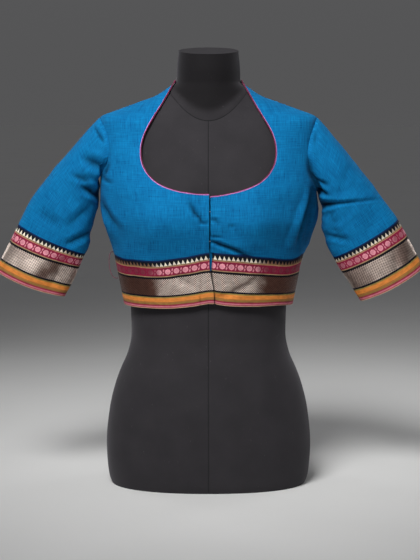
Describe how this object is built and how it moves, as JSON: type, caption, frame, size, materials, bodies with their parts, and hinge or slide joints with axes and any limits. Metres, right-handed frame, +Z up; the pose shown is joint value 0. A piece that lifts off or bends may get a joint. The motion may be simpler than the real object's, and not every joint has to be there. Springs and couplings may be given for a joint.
{
  "type": "blouse on a dress form",
  "caption": "Short fitted blouse with a deep round neck, front opening, elbow sleeves and woven borders, worn by a limbless tabletop dress form.",
  "frame": {"origin": "middle of the dress form's flat base, on the surface it stands on", "axes": "+Z up along the form; the blouse's front and its opening face -Y; +X is the wearer's left"},
  "size_m": [0.726, 0.2553, 0.7409],
  "materials": {
    "blue_cotton": "matte slubby plain-weave cotton",
    "woven_border": "woven stripes with a metallic thread panel",
    "pink_piping": "bias cloth over a fine cord",
    "form_cover": "matte close-fitting cover",
    "loop_thread": "twisted thread"
  },
  "bodies": {
    "root": {"dress_form": "form_cover", "front_right": "blue_cotton", "front_left": "blue_cotton", "back": "blue_cotton", "sleeve_right": "blue_cotton", "sleeve_left": "blue_cotton", "placket": "blue_cotton", "hem_band_right": "woven_border", "hem_band_left": "woven_border", "hem_band_back": "woven_border", "sleeve_band_right": "woven_border", "sleeve_band_left": "woven_border", "neck_piping": "pink_piping", "hanger_loop": "loop_thread"}
  },
  "joints": []
}
